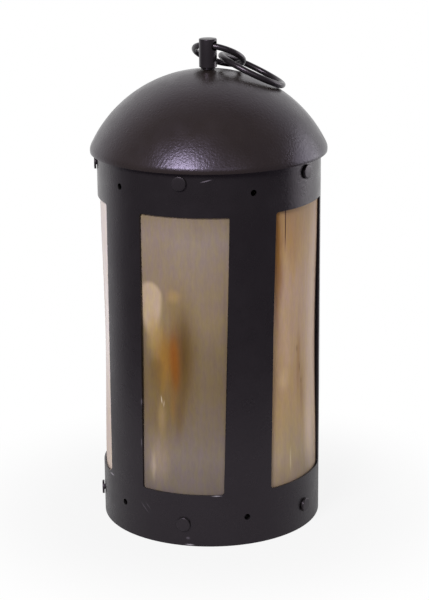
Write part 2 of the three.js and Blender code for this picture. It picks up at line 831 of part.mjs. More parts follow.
for (const [i, height] of leafRivetHeights().entries()) {
  const [onDoor, onBody] = [{ azimuth: doorLeafTurn, height }, { azimuth: bodyLeafTurn, height }];
  place(`door_leaf_rivet_${i + 1}`, doorLeafRivetShape, steel, { group: doorBay, ...onDoor });
  place(`body_leaf_rivet_${i + 1}`, bodyLeafRivetShape, steel, { group: doorBay, ...onBody });
}
const buttonSpot = { group: doorBay, azimuth: buttonTurn, height: windowMiddle };
place('turn_button', shapeOf(makeButton()), steel, buttonSpot);
place('turn_button_rivet', shapeOf(makeButtonRivet()), steel, buttonSpot);

export default lantern;
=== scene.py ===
import json
import math

import bpy
import numpy as np
from mathutils import Matrix, Vector


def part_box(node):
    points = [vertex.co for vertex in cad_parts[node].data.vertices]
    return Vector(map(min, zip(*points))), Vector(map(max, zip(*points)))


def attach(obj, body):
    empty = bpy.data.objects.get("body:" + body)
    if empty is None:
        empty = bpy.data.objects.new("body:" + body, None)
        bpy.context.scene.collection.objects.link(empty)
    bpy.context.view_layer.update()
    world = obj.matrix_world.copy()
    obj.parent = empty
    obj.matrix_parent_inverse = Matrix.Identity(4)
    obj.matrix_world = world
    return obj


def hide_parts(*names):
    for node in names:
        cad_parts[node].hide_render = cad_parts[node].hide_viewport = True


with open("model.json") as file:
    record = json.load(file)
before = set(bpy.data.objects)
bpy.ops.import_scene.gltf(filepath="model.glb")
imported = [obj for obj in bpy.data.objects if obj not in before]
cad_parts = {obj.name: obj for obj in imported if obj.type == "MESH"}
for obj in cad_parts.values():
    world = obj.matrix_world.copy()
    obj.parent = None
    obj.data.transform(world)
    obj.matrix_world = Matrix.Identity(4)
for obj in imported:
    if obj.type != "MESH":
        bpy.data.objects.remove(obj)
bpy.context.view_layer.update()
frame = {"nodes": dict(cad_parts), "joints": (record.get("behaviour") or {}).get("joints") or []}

# Camera: a long lens about a metre away, a little to the right of the front window and
# looking down on the dome. Its place is worked out from the lantern's outline in the
# photograph, so the frame is the photograph's own.

MM = 0.001
photo_height_px = 600
focal_px = 1883.84
camera_distance = 990.7
camera_height = 409.35
camera_azimuth = math.radians(14.65)
camera_pitch = math.radians(16.283)
camera_yaw = math.radians(0.139)
camera_roll = math.radians(-0.468)

lens = bpy.data.cameras.new("photo_camera")
lens.sensor_fit = "VERTICAL"
lens.sensor_height = 36.0
lens.lens = lens.sensor_height * focal_px / photo_height_px
lens.clip_end = 20.0
camera = bpy.data.objects.new("photo_camera", lens)
bpy.context.scene.collection.objects.link(camera)
look = Vector((math.sin(camera_yaw) * math.cos(camera_pitch),
               math.cos(camera_yaw) * math.cos(camera_pitch), -math.sin(camera_pitch)))
level = Vector((math.cos(camera_yaw), -math.sin(camera_yaw), 0.0))
rise = level.cross(look)
across = math.cos(camera_roll) * level + math.sin(camera_roll) * rise
upward = math.cos(camera_roll) * rise - math.sin(camera_roll) * level
aim = Matrix((across, upward, -look)).transposed().to_4x4()
aim.translation = Vector((0.0, -camera_distance * MM, camera_height * MM))
camera.matrix_world = Matrix.Rotation(camera_azimuth, 4, "Z") @ aim
bpy.context.scene.camera = camera
bpy.context.scene.view_settings.view_transform = "Standard"

# Studio: a table of white paper and a white wall behind it. One broad soft lamp hangs
# high at the front, and its reflection lies low on the dome; two weaker ones fill the
# front and the right. The wall lights the back, and shows in the paint at both sides.

lantern_middle = Vector((0.0, 0.0, 0.13))
wall_starts, wall_full = 0.1, 0.65
wall_light = 0.5
floor_radius = 0.27
floor_reflection = 0.32
shadow_reach, paper_reach = 0.07, 0.18
shadow_share = 0.88

def srgb(code):
    """A colour written as sRGB hex, as linear values."""
    parts = [int(code[i:i + 2], 16) / 255 for i in (1, 3, 5)]
    return [c / 12.92 if c <= 0.04045 else ((c + 0.055) / 1.055) ** 2.4 for c in parts] + [1.0]


def add_node(tree, kind, settings=None, **inputs):
    """One node with its settings. An input, by name or as i and its number, is given a
    value, another node's output, or a node, which stands for its first output."""
    made = tree.nodes.new(kind)
    for key, value in (settings or {}).items():
        setattr(made, key, value)
    for key, value in inputs.items():
        numbered = key[0] == "i" and key[1:].isdigit()
        socket = made.inputs[int(key[1:])] if numbered else made.inputs[key.replace("_", " ")]
        if isinstance(value, bpy.types.Node):
            value = value.outputs[0]
        if isinstance(value, bpy.types.NodeSocket):
            tree.links.new(value, socket)
        else:
            socket.default_value = value
    return made


def new_material(name):
    """An empty node material and its tree."""
    finish = bpy.data.materials.new(name)
    finish.use_nodes = True
    finish.node_tree.nodes.clear()
    return finish, finish.node_tree


def seen_rays(tree):
    """1 for the rays that show a background: to the camera, mirrored or let through."""
    rays = add_node(tree, "ShaderNodeLightPath")
    mirrored = add_node(tree, "ShaderNodeMath", {"operation": "MAXIMUM"},
                        i0=rays.outputs["Is Glossy Ray"], i1=rays.outputs["Is Transmission Ray"])
    return rays.outputs["Is Camera Ray"], mirrored


def soft_lamp(name, azimuth, elevation, distance, width, height, power):
    """A softbox that faces the lantern's middle."""
    lamp = bpy.data.lights.new(name, "AREA")
    lamp.shape = "RECTANGLE"
    lamp.size, lamp.size_y = width, height
    lamp.energy = power
    stand = bpy.data.objects.new(name, lamp)
    bpy.context.scene.collection.objects.link(stand)
    az, el = math.radians(azimuth), math.radians(elevation)
    away = Vector((math.sin(az) * math.cos(el), -math.cos(az) * math.cos(el), math.sin(el)))
    stand.location = lantern_middle + away * distance
    stand.rotation_euler = away.to_track_quat("Z", "Y").to_euler()


soft_lamp("key_softbox", azimuth=-12, elevation=34.5, distance=1.5, width=0.60, height=0.42, power=26.0)
soft_lamp("front_fill", azimuth=25, elevation=25, distance=2.4, width=1.6, height=1.2, power=7.0)
soft_lamp("right_fill", azimuth=124, elevation=8, distance=2.4, width=1.6, height=1.6, power=20.0)

room = bpy.data.worlds.new("studio_room")
bpy.context.scene.world = room
room.use_nodes = True
tree = room.node_tree
tree.nodes.clear()
straight, mirrored = seen_rays(tree)
way = add_node(tree, "ShaderNodeTexCoord")
behind = add_node(tree, "ShaderNodeVectorMath", {"operation": "DOT_PRODUCT"},
                  i0=way.outputs["Generated"],
                  i1=(-math.sin(camera_azimuth), math.cos(camera_azimuth), 0.0))
wall = add_node(tree, "ShaderNodeMapRange", i0=behind.outputs["Value"], i1=wall_starts, i2=wall_full)
lit = add_node(tree, "ShaderNodeMath", {"operation": "MAXIMUM"}, i0=mirrored, i1=wall_light)
shown = add_node(tree, "ShaderNodeMath", {"operation": "MULTIPLY"}, i0=lit, i1=wall)
seen = add_node(tree, "ShaderNodeMath", {"operation": "MAXIMUM"}, i0=straight, i1=shown)
tone = add_node(tree, "ShaderNodeMix", {"data_type": "RGBA"}, i0=seen,
                i6=srgb("#7b767e"), i7=srgb("#ffffff"))
air = add_node(tree, "ShaderNodeBackground", Color=tone.outputs[2], Strength=1.0)
add_node(tree, "ShaderNodeOutputWorld", Surface=air)

bpy.ops.mesh.primitive_circle_add(vertices=96, radius=floor_radius, fill_type="NGON")
floor = bpy.context.object
floor.name = "studio_floor"
paper, tree = new_material("white_paper")
straight, mirrored = seen_rays(tree)
part = add_node(tree, "ShaderNodeMath", {"operation": "MULTIPLY"}, i0=mirrored, i1=floor_reflection)
seen = add_node(tree, "ShaderNodeMath", {"operation": "MAXIMUM"}, i0=straight, i1=part)
place = add_node(tree, "ShaderNodeTexCoord").outputs["Object"]
far = add_node(tree, "ShaderNodeVectorMath", {"operation": "LENGTH"}, i0=place)
fade = add_node(tree, "ShaderNodeMapRange", {"interpolation_type": "SMOOTHSTEP"},
                i0=far.outputs["Value"], i1=shadow_reach, i2=paper_reach, i3=shadow_share, i4=1.0)
share = add_node(tree, "ShaderNodeMath", {"operation": "MULTIPLY"}, i0=seen, i1=fade)
matt = add_node(tree, "ShaderNodeBsdfDiffuse", Color=srgb("#a6a6a6"))
white = add_node(tree, "ShaderNodeEmission", Color=srgb("#ffffff"), Strength=1.0)
sheet = add_node(tree, "ShaderNodeMixShader", i0=share, i1=matt, i2=white)
add_node(tree, "ShaderNodeOutputMaterial", Surface=sheet)
floor.data.materials.append(paper)

# Body: one sheet of 1 mm mild steel, rolled into a drum and lapped at the back. The
# tall windows are sawn out by hand, so two of their posts lean a little and the front
# one strays to the right. The whole is sprayed with satin black stove paint.

body_radius = 60.0
body_sheet = 1.0
body_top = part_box("body_shell")[1][2] / MM
window_pitch = 72.0
window_half = 22.3
window_low, window_high = 29.2, 180.8
window_middle = (window_low + window_high) / 2
window_corner = 1.6
worn_corner = 4.5
front_stray = 2.3
lean_right, lean_left = -3.7, -1.0
post_lean = -3.0
broken_edge = 0.2
rivet_low, rivet_high = 12.5, 198.6
rivet_hole = 1.8
small_hole = 1.1
stud_hole = 1.6
vent_low, vent_high = 17.0, 192.7
vent_radius = 1.7
front_vent_turn, front_vent_drop = 0.9, 1.3
seam_azimuth = 108.0
seam_lap = 12.0
seam_slit = 0.4
seam_rivets = (45.0, 105.0, 165.0)
fit_gap = 0.3
door_azimuth = -144.0
door_opening_half = window_half + math.degrees(3.9 / body_radius)
door_low, door_high = 22.0, 188.0
door_overlap = 4.0
door_half = door_opening_half + math.degrees(door_overlap / body_radius)
knuckle_radius = 1.9
leaf_length = 8.0
hinge_turn = door_half + math.degrees((knuckle_radius + 2 * fit_gap) / body_radius)
leaf_turn = math.degrees((knuckle_radius + (fit_gap + leaf_length) / 2) / body_radius)
hinge_heights = (62.0, 148.0)
leaf_rivet_step = 5.0
leaf_rivets = [height + side * leaf_rivet_step for height in hinge_heights for side in (-1, 1)]
button_turn = -window_pitch / 2


def spun(name, section, turn=360.0, start=0.0, steps=192):
    """A closed section of (radius, height) points, turned about the upright axis."""
    bpy.ops.mesh.primitive_circle_add(vertices=len(section), radius=1.0)
    piece = bpy.context.object
    piece.name = piece.data.name = name
    az = math.radians(start)
    for vertex, (radius, height) in zip(piece.data.vertices, section):
        vertex.co = (radius * math.sin(az) * MM, -radius * math.cos(az) * MM, height * MM)
    bpy.ops.object.mode_set(mode="EDIT")
    bpy.ops.mesh.select_all(action="SELECT")
    bpy.ops.mesh.spin(steps=steps, angle=-math.radians(turn), center=(0, 0, 0), axis=(0, 0, 1))
    bpy.ops.mesh.select_all(action="SELECT")
    bpy.ops.mesh.remove_doubles(threshold=1e-6)
    if turn < 360:
        bpy.ops.mesh.fill_holes(sides=0)
    bpy.ops.mesh.delete_loose(use_verts=True, use_edges=True, use_faces=False)
    bpy.ops.mesh.select_all(action="SELECT")
    bpy.ops.mesh.normals_make_consistent(inside=False)
    bpy.ops.object.mode_set(mode="OBJECT")
    return piece


def rounded(x, y, radius, start, end, steps):
    """Points of a round stretch in a section, angles in degrees."""
    turns = [math.radians(start + (end - start) * i / steps) for i in range(steps + 1)]
    return [(x + radius * math.cos(t), y + radius * math.sin(t)) for t in turns]


def pick(*pieces):
    """Selects these pieces and no others, and makes the first the active one."""
    bpy.ops.object.select_all(action="DESELECT")
    for piece in pieces:
        piece.select_set(True)
    bpy.context.view_layer.objects.active = pieces[0]


def settle(piece, azimuth=0.0, height=0.0):
    """Takes a piece made facing the front up and round the drum, and keeps it there."""
    up = Matrix.Translation((0, 0, height * MM))
    piece.matrix_basis = Matrix.Rotation(math.radians(azimuth), 4, "Z") @ up @ piece.matrix_basis
    pick(piece)
    bpy.ops.object.transform_apply(location=True, rotation=True, scale=True)
    return piece


def twin(piece, name, azimuth=0.0, height=0.0):
    """A copy of a piece, with its own mesh, at its place round the drum."""
    other = piece.copy()
    other.data = piece.data.copy()
    other.name = other.data.name = name
    bpy.context.scene.collection.objects.link(other)
    return settle(other, azimuth, height)


def window_block(azimuth, left, right, foot_left, foot_right, low, high, corner=0.0, foot_corner=0.0):
    """A block as big as a window's opening, whose sides face the drum's axis. Its right
    foot may have a corner of its own."""
    bpy.ops.mesh.primitive_cube_add(size=2.0)
    block = bpy.context.object
    inner, outer = 0.7 * body_radius, 1.25 * body_radius
    for vertex in block.data.vertices:
        side, depth, end = vertex.co
        reach = outer if depth < 0 else inner
        height = high if end > 0 else low
        if end > 0:
            angle = right if side > 0 else left
        else:
            angle = foot_right if side > 0 else foot_left
        vertex.co = (reach * math.tan(math.radians(angle)) * MM, -reach * MM, height * MM)
    centre = sum((vertex.co for vertex in block.data.vertices), Vector()) / 8
    for at_right, at_top in ((True, True), (False, True), (True, False), (False, False)):
        radius = foot_corner if at_right and not at_top else corner
        if radius == 0.0:
            continue
        bpy.ops.object.mode_set(mode="EDIT")
        bpy.ops.mesh.select_all(action="DESELECT")
        bpy.ops.object.mode_set(mode="OBJECT")
        for edge in block.data.edges:
            a, b = (block.data.vertices[i].co for i in edge.vertices)
            here = (a + b) / 2
            through = abs((a - b).normalized().y) > 0.5
            edge.select = through and (here.x > centre.x) == at_right and (here.z > centre.z) == at_top
        bpy.ops.object.mode_set(mode="EDIT")
        bpy.ops.mesh.bevel(offset=radius * MM, segments=8, affect="EDGES")
        bpy.ops.object.mode_set(mode="OBJECT")
    return settle(block, azimuth)


def straight_block(half, low, high, azimuth=0.0, corner=window_corner):
    """A window's block whose sides don't lean."""
    return window_block(azimuth, -half, half, -half, half, low, high, corner, corner)


def drill(azimuth, height, radius, length=20.0, sides=32):
    """A rod through the drum's wall, for a hole."""
    bpy.ops.mesh.primitive_cylinder_add(vertices=sides, radius=radius * MM, depth=length * MM,
                                        location=(0, -body_radius * MM, height * MM),
                                        rotation=(math.pi / 2, 0, 0))
    return settle(bpy.context.object, azimuth)


def cut(piece, tools, operation="DIFFERENCE"):
    """Cuts a piece with all the tools at once, or joins or keeps what they share."""
    pick(*tools)
    if len(tools) > 1:
        bpy.ops.object.join()
    bpy.context.view_layer.objects.active = piece
    saw = piece.modifiers.new("saw", "BOOLEAN")
    saw.operation = operation
    saw.solver = "EXACT"
    saw.object = tools[0]
    bpy.ops.object.modifier_apply(modifier="saw")
    bpy.data.objects.remove(tools[0], do_unlink=True)


def break_edges(piece, width, segments=2, angle=40.0):
    """Rounds the sharp edges, as a file and the paint do."""
    bpy.context.view_layer.objects.active = piece
    edge = piece.modifiers.new("edge", "BEVEL")
    edge.width = width * MM
    edge.segments = segments
    edge.limit_method = "ANGLE"
    edge.angle_limit = math.radians(angle)
    bpy.ops.object.modifier_apply(modifier="edge")


def smooth(piece, angle=35.0):
    """Shades the round faces smooth and lets the broad faces keep their own direction."""
    pick(piece)
    bpy.ops.object.shade_smooth_by_angle(angle=math.radians(angle))
    even = piece.modifiers.new("even", "WEIGHTED_NORMAL")
    even.keep_sharp = True
    even.weight = 100
    bpy.ops.object.modifier_apply(modifier="even")


def dress(piece, material, slot, body, *nodes):
    """Gives a finished piece its material and its place in the assembly."""
    piece.data.materials.clear()
    piece.data.materials.append(material)
    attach(piece, body)
    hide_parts(*nodes)


def unrolled(tree, azimuth, radius):
    """The drum's surface laid flat, in millimetres round from an azimuth and up, and
    the same place unbent."""
    place = add_node(tree, "ShaderNodeTexCoord").outputs["Object"]
    faced = add_node(tree, "ShaderNodeMapping", Vector=place,
                     Rotation=(0, 0, math.radians(-azimuth)), Scale=(1000, 1000, 1000))
    part = add_node(tree, "ShaderNodeSeparateXYZ", Vector=faced)
    front = add_node(tree, "ShaderNodeMath", {"operation": "MULTIPLY"}, i0=part.outputs["Y"], i1=-1.0)
    turn = add_node(tree, "ShaderNodeMath", {"operation": "ARCTAN2"}, i0=part.outputs["X"], i1=front)
    arc = add_node(tree, "ShaderNodeMath", {"operation": "MULTIPLY"}, i0=turn, i1=radius)
    flat = add_node(tree, "ShaderNodeCombineXYZ", X=arc, Y=part.outputs["Z"])
    return flat, faced


def patch(tree, colour, flat, spot, size, tint, strength, soft=1.0, down=None, turn=0.0):
    """Lays an oval stain of a tint, round a spot, over a colour. Its edge is soft, or
    crisp where soft is small, and it may run further down than up."""
    oval = add_node(tree, "ShaderNodeMapping", {"vector_type": "TEXTURE"}, Vector=flat,
                    Location=(spot[0], spot[1], 0), Rotation=(0, 0, math.radians(turn)),
                    Scale=(size[0], size[1], 1))
    if down:
        axes = add_node(tree, "ShaderNodeSeparateXYZ", Vector=oval)
        below = add_node(tree, "ShaderNodeMath", {"operation": "MULTIPLY"},
                         i0=axes.outputs["Y"], i1=size[1] / down)
        longer = add_node(tree, "ShaderNodeMath", {"operation": "MAXIMUM"},
                          i0=axes.outputs["Y"], i1=below)
        oval = add_node(tree, "ShaderNodeCombineXYZ", X=axes.outputs["X"], Y=longer)
    far = add_node(tree, "ShaderNodeVectorMath", {"operation": "LENGTH"}, i0=oval)
    mask = add_node(tree, "ShaderNodeMapRange", {"interpolation_type": "SMOOTHSTEP"},
                    i0=far.outputs["Value"], i1=1.0, i2=1.0 - soft, i3=0.0, i4=strength)
    return add_node(tree, "ShaderNodeMix", {"data_type": "RGBA"}, i0=mask,
                    i6=colour, i7=srgb(tint)).outputs[2]


def stove_paint(name, base, worn, roughness, peel_depth, peel_size=1.4, marks=(), sheen_tint="#e6d5ea"):
    """Satin black heat paint, sprayed: nearly black, a soft sheen with fine orange
    peel, a little uneven in tone, with the marks it is given: light scuffs where it is
    handled, and on the body two painted highlights along window edges."""
    tone_size, sheen_size, dent_size, dent_depth = 22.0, 9.0, 26.0, 0.25
    finish, tree = new_material(name)
    flat, place = unrolled(tree, 0.0, body_radius)
    cloud = add_node(tree, "ShaderNodeTexNoise", Vector=place, Scale=1 / tone_size, Detail=4.0,
                     Roughness=0.6)
    tone = add_node(tree, "ShaderNodeMix", {"data_type": "RGBA"}, i0=cloud,
                    i6=srgb(base), i7=srgb(worn)).outputs[2]
    for mark in marks:
        tone = patch(tree, tone, flat, *mark)
    sheen = add_node(tree, "ShaderNodeTexNoise", Vector=place, Scale=1 / sheen_size, Detail=3.0)
    rough = add_node(tree, "ShaderNodeMapRange", i0=sheen, i1=0.3, i2=0.7,
                     i3=roughness - 0.04, i4=roughness + 0.05)
    peel = add_node(tree, "ShaderNodeTexNoise", Vector=place, Scale=1 / peel_size, Detail=2.0)
    dents = add_node(tree, "ShaderNodeTexNoise", Vector=place, Scale=1 / dent_size, Detail=1.0)
    wavy = add_node(tree, "ShaderNodeBump", Strength=1.0, Distance=dent_depth * MM, Height=dents)
    peeled = add_node(tree, "ShaderNodeBump", Strength=1.0, Distance=peel_depth * MM,
                      Height=peel, Normal=wavy)
    # The sheen tint colours every reflection in the paint lilac. It stands in for the colour of the
    # lamp's light and is a painted tint of the light.
    coat = add_node(tree, "ShaderNodeBsdfPrincipled", Base_Color=tone, Roughness=rough,
                    Normal=peeled, Metallic=0.0, IOR=1.5,
                    Specular_Tint=srgb(sheen_tint))
    add_node(tree, "ShaderNodeOutputMaterial", Surface=coat)
    return finish


# Scuffs and bare chips that the paint has, and two pale rims along window edges that are
# painted highlight: place, size, tint, strength, softness, and for a slanting one its turn.
scuff, chip_and_rim_highlight = "#6d6670", "#b9b2bb"
body_marks = [
    ((13.8, 200.0), (3.8, 0.4), scuff, 0.8, 0.8, None, 14.0),
    ((-23.4, 18.0), (4.8, 0.3), scuff, 0.4, 0.9, None, -46.0),
    ((-21.2, 19.6), (3.2, 0.25), scuff, 0.35, 0.9, None, -46.0),
    ((2.3, 4.5), (1.6, 1.1), scuff, 0.35, 0.9),
    ((3.3, 0.8), (3.2, 0.6), chip_and_rim_highlight, 0.55, 0.9),
    # A pale rim under the front window's lower edge: painted highlight.
    ((18.0, 28.9), (3.6, 0.4), chip_and_rim_highlight, 0.6, 0.9),
    ((-24.4, 78.0), (0.5, 2.6), scuff, 0.5, 0.9),
    ((-24.9, 55.0), (0.4, 3.4), scuff, 0.45, 0.9),
    # A pale rim under the left window's lower right corner: painted highlight.
    ((-53.0, 28.5), (3.4, 0.7), chip_and_rim_highlight, 0.6, 0.9),
]
body_paint = stove_paint("satin_black_stove_paint", "#141213", "#1b191a", 0.29, 0.07, marks=body_marks)

shell = spun("body_sheet", [(body_radius, 0), (body_radius, body_top),
                            (body_radius - body_sheet, body_top), (body_radius - body_sheet, 0)],
             steps=240)
openings = [straight_block(door_opening_half, door_low, door_high, door_azimuth)]
for i in (0, 1, 2, -1):
    left, right = -window_half, window_half + (front_stray if i == 0 else 0)
    foot_left = left + (lean_left if i == 0 else post_lean if i == 1 else 0)
    foot_right = right + (lean_right if i == 0 else lean_left if i == -1 else 0)
    openings.append(window_block(i * window_pitch, left, right, foot_left, foot_right,
                                 window_low, window_high,
                                 window_corner, worn_corner if i == -1 else window_corner))
lap_turn = math.degrees(seam_lap / body_radius)
slit_half = math.degrees(seam_slit / body_radius) / 2
openings.append(straight_block(slit_half, -5.0, body_top + 5.0, seam_azimuth + lap_turn / 2, 0.0))
cut(shell, openings)
lap_outside = body_radius - body_sheet - fit_gap
lap = spun("body_lap", [(lap_outside, 0), (lap_outside, body_top),
                        (lap_outside - body_sheet, body_top), (lap_outside - body_sheet, 0)],
           turn=lap_turn + 2 * slit_half, start=seam_azimuth - lap_turn / 2, steps=8)
pick(shell, lap)
bpy.ops.object.join()
break_edges(shell, broken_edge)
holes = [drill(seam_azimuth, height, rivet_hole) for height in seam_rivets]
holes += [drill(door_azimuth + hinge_turn + leaf_turn, height, small_hole) for height in leaf_rivets]
holes.append(drill(door_azimuth + button_turn, window_middle, stud_hole))
for i in (0, 1, 2, -2, -1):
    azimuth = i * window_pitch
    post = azimuth + window_pitch / 2
    stray = post_lean if i == 0 else lean_left if i == -1 else 0
    turn, drop = (front_vent_turn, front_vent_drop) if i == 0 else (0, 0)
    holes += [drill(azimuth, rivet_low, rivet_hole), drill(azimuth, rivet_high, rivet_hole),
              drill(post + turn, vent_high, vent_radius),
              drill(post + stray, vent_low - drop, vent_radius)]
cut(shell, holes)
smooth(shell)
dress(shell, body_paint, "black_steel", "lantern_body", "body_shell")

# Horn panes: cattle horn sawn, boiled, pressed flat and scraped to about a millimetre,
# then bent warm to the drum. It is translucent, grey to honey, with fine fibres and
# smoky streaks that run along the horn, upright here, and a satin scraped face.

pane_outside = 58.7
pane_thickness = 1.2
pane_bow = 1.1
pane_side, pane_end = 7.0, 7.5
pane_half = window_half + math.degrees(pane_side / body_radius)
bow_past_window = 4.0
bow_low, bow_high = window_low - bow_past_window, window_high + bow_past_window


def grain(tree, place, width, length, detail, roughness=0.5):
    """An uneven pattern drawn out along the horn: its marks are a width across and a
    length up, in millimetres."""
    drawn = add_node(tree, "ShaderNodeMapping", Vector=place, Scale=(1 / width, 1 / length, 1))
    return add_node(tree, "ShaderNodeTexNoise", Vector=drawn, Scale=1.0, Detail=detail,
                    Roughness=roughness)


def horn_plate(name, azimuth, tones, stains, seed):
    """Scraped horn. Tones are (height in mm, colour) up the plate; stains are patches
    on it, told whether they keep a crisp place or sway with the grain. The fibres are
    0.8 to 1.8 mm apart and 4 to 32 mm long, and a faint bloom lies over them."""
    sway = (7.0, 16.0, 0)
    scrape_depth, ripple_depth = 0.03, 0.4
    finish, tree = new_material(name)
    flat, _ = unrolled(tree, azimuth, pane_outside)
    own = add_node(tree, "ShaderNodeVectorMath", {"operation": "ADD"}, i0=flat, i1=(0, 0, seed))
    drift = grain(tree, own, 9.0, 38.0, 3.0)
    shift = add_node(tree, "ShaderNodeVectorMath", {"operation": "SUBTRACT"}, i0=drift.outputs["Color"],
                     i1=(0.5, 0.5, 0.5))
    swing = add_node(tree, "ShaderNodeVectorMath", {"operation": "MULTIPLY"}, i0=shift, i1=sway)
    swayed = add_node(tree, "ShaderNodeVectorMath", {"operation": "ADD"}, i0=flat, i1=swing)
    height = add_node(tree, "ShaderNodeSeparateXYZ", Vector=swayed).outputs["Y"]
    share = add_node(tree, "ShaderNodeMapRange", i0=height, i1=window_low, i2=window_high)
    colour = add_node(tree, "ShaderNodeValToRGB", Fac=share)
    stops = colour.color_ramp.elements
    stops[0].color, stops[1].color = srgb(tones[0][1]), srgb(tones[-1][1])
    for z, tint in tones[1:-1]:
        stops.new((z - window_low) / (window_high - window_low)).color = srgb(tint)
    for crisp, *stain in stains:
        colour = patch(tree, colour, flat if crisp else swayed, *stain)
    fibre = grain(tree, own, 1.8, 32.0, 3.0, 0.6)
    hair = grain(tree, own, 0.8, 4.0, 1.0)
    both = add_node(tree, "ShaderNodeMath", {"operation": "ADD"}, i0=fibre, i1=hair)
    shade = add_node(tree, "ShaderNodeMapRange", i0=both, i1=0.7, i2=1.3, i3=0.95, i4=1.05)
    colour = add_node(tree, "ShaderNodeMix", {"data_type": "RGBA", "blend_type": "MULTIPLY"}, i0=1.0,
                      i6=colour, i7=shade).outputs[2]
    cloud = grain(tree, own, 2.6, 8.0, 4.0, 0.65)
    bloom = add_node(tree, "ShaderNodeMapRange", i0=cloud, i1=0.38, i2=0.62)
    cast = add_node(tree, "ShaderNodeMix", {"data_type": "RGBA"}, i0=bloom,
                    i6=srgb("#c4c1a6"), i7=srgb("#b8b1ca"))
    colour = add_node(tree, "ShaderNodeMix", {"data_type": "RGBA", "blend_type": "SOFT_LIGHT"}, i0=0.5,
                      i6=colour, i7=cast.outputs[2]).outputs[2]
    gloss = add_node(tree, "ShaderNodeMapRange", i0=drift, i1=0.3, i2=0.7, i3=0.34, i4=0.48)
    scraped = add_node(tree, "ShaderNodeBump", Strength=1.0, Distance=scrape_depth * MM, Height=hair)
    rippled = add_node(tree, "ShaderNodeBump", Strength=1.0, Distance=ripple_depth * MM,
                       Height=drift, Normal=scraped)
    plate = add_node(tree, "ShaderNodeBsdfPrincipled", Base_Color=colour, Roughness=gloss,
                     Normal=rippled, IOR=1.54, Specular_IOR_Level=0.22)
    add_node(tree, "ShaderNodeOutputMaterial", Surface=plate)
    return finish


def pane_section():
    """Straight where it is held, sinking in a little at half height."""
    steps = 24
    bow = [(pane_outside - pane_bow * math.sin(math.pi * i / steps) ** 2,
            bow_low + (bow_high - bow_low) * i / steps) for i in range(steps + 1)]
    face = [(pane_outside, rivet_low - pane_end)] + bow + [(pane_outside, rivet_high + pane_end)]
    return face + [(r - pane_thickness, z) for r, z in reversed(face)]


# Front pane: taupe above, smoky olive below, with a cream arch at the left where the
# horn is clear, an orange streak low beside it and a brown one next to that. The tones
# also darken towards the foot, and that darkening is partly painted shade.
front_tones = [(30, "#635952"), (48, "#70655c"), (62, "#6c6054"), (88, "#695a45"), (106, "#6d5e49"),
               (125, "#7b6b55"), (150, "#7f7060"), (168, "#817468"), (180, "#776959")]
front_stains = [
    (False, (-12.0, 160.0), (17.0, 26.0), "#7b6b5e", 0.5, 1.0),
    (False, (-12.0, 86.0), (17.0, 34.0), "#6a5630", 0.75, 0.9, 50.0),
    (False, (-5.0, 134.0), (10.0, 22.0), "#786238", 0.5, 1.0),
    (False, (-14.0, 48.0), (10.0, 24.0), "#8c7c6c", 0.65, 1.0),
    (False, (1.0, 104.0), (12.0, 46.0), "#5d4822", 0.75, 1.0, 50.0),
    (False, (-10.5, 104.0), (9.0, 24.0), "#856026", 0.85, 0.9, 26.0),
    (True, (0.4, 106.0), (5.4, 32.0), "#4e3819", 0.75, 1.0, 36.0),
    (True, (-4.4, 104.0), (6.0, 28.0), "#6b4115", 0.8, 1.0, 32.0),
    (True, (-5.0, 106.0), (3.9, 15.0), "#7e480e", 0.65, 1.0),
    (True, (-4.0, 96.0), (3.6, 15.0), "#73420e", 0.65, 1.0),
    (True, (-5.6, 78.0), (3.0, 14.0), "#77562a", 0.6, 1.0),
    (False, (-2.0, 72.0), (5.0, 22.0), "#584020", 0.55, 1.0),
    (True, (-18.5, 137.0), (8.4, 8.8), "#ac9880", 0.85, 0.35, 24.0),
    (False, (-16.5, 117.0), (7.0, 15.0), "#9b8152", 0.75, 1.0, 20.0),
    (True, (-4.8, 138.2), (6.0, 5.0), "#967d55", 0.6, 0.9, 6.0),
    (True, (-15.5, 98.0), (6.5, 6.5), "#624c2a", 0.55, 0.8, 16.0),
    (True, (-12.4, 71.0), (4.0, 16.0), "#907a56", 0.6, 1.0),
    (True, (-12.4, 80.5), (0.5, 3.0), "#cfc3ac", 0.6, 0.9, None, 8.0),
    (True, (-11.0, 78.5), (0.4, 2.6), "#c9bba2", 0.5, 0.9, None, -6.0),
    (False, (-17.5, 44.0), (2.6, 14.0), "#a3947f", 0.6, 1.0),
    # A dark strip down the right edge, next to the post: painted shade.
    (True, (22.6, 105.0), (1.3, 80.0), "#6a5b4c", 0.6, 1.0),
]
